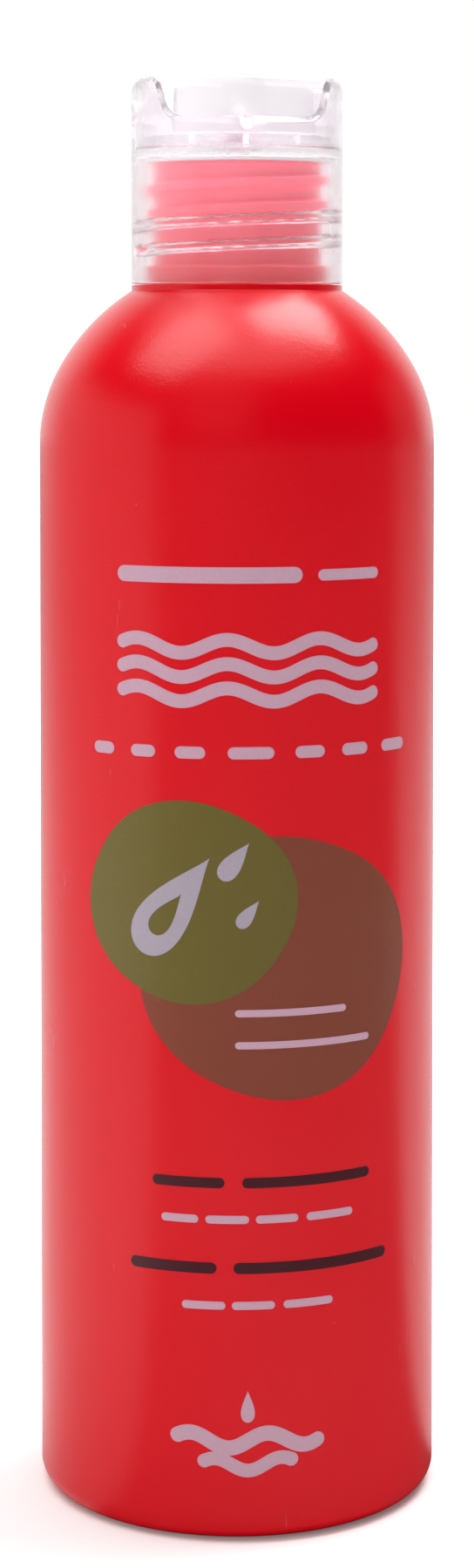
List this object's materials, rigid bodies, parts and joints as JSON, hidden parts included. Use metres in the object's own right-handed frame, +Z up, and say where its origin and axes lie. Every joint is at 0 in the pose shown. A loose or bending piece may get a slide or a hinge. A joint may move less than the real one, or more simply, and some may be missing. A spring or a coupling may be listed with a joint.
{
  "type": "shampoo bottle",
  "caption": "Round plastic shampoo bottle with a sloping shoulder and a screw-on cap whose top disc tips to let the liquid out at the front.",
  "frame": {"origin": "centre of the foot ring, on the plane the bottle stands on", "axes": "+Z up along the bottle's axis; -Y is the front, where the cap's outlet and the printed side face; +X is the viewer's right"},
  "size_m": [0.0516, 0.0516, 0.1837],
  "materials": {
    "bottle_red": "satin",
    "shampoo": "gloss",
    "liner_foam": "matte",
    "cap_clear": "satin",
    "disc_clear": "satin"
  },
  "bodies": {
    "bottle": {"bottle": "bottle_red", "shampoo_fill": "shampoo"},
    "liner": {"sealing_liner": "liner_foam"},
    "cap": {"cap_body": "cap_clear"},
    "disc": {"press_disc": "disc_clear"}
  },
  "joints": [
    {"name": "cap_lift", "type": "slide", "parent": "bottle", "child": "liner", "axis": [0, 0, 1], "range_m": [0, 0.0191]},
    {"name": "cap_turn", "type": "hinge", "parent": "liner", "child": "cap", "pos_m": [0, 0, 0.165], "axis": [0, 0, 1], "range_deg": [0, 2160]},
    {"name": "disc_tilt", "type": "hinge", "parent": "cap", "child": "disc", "pos_m": [0, 0, 0.1795], "axis": [-1, 0, 0], "range_deg": [0, 27]}
  ],
  "couplings": [
    {"joint": "cap_lift", "follows": "cap_turn", "m_per_rad": 0.00050532}
  ]
}
